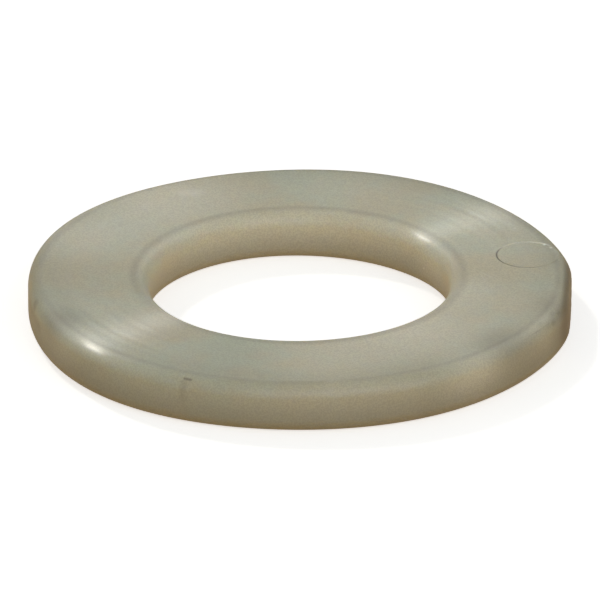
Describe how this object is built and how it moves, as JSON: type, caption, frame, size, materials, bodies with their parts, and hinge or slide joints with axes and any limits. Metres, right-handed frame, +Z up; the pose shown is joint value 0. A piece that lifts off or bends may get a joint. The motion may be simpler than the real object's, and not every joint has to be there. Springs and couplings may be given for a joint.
{
  "type": "flat washer",
  "caption": "Plain flat washer moulded in natural nylon: a flat ring with rounded edges and a clear central bore, for a bolt to pass through.",
  "frame": {"origin": "where the bore's axis meets the bottom face", "axes": "+Z up the bore's axis, from the bottom face to the face with the ejector-pin mark; +X towards the trimmed gate on the rim"},
  "size_m": [0.024, 0.024, 0.0023],
  "materials": {
    "natural_nylon": "natural nylon, injection moulded, slightly see-through, satin with a soft gloss on the rounded edges"
  },
  "bodies": {
    "root": {"flat_washer": "natural_nylon"}
  },
  "joints": []
}
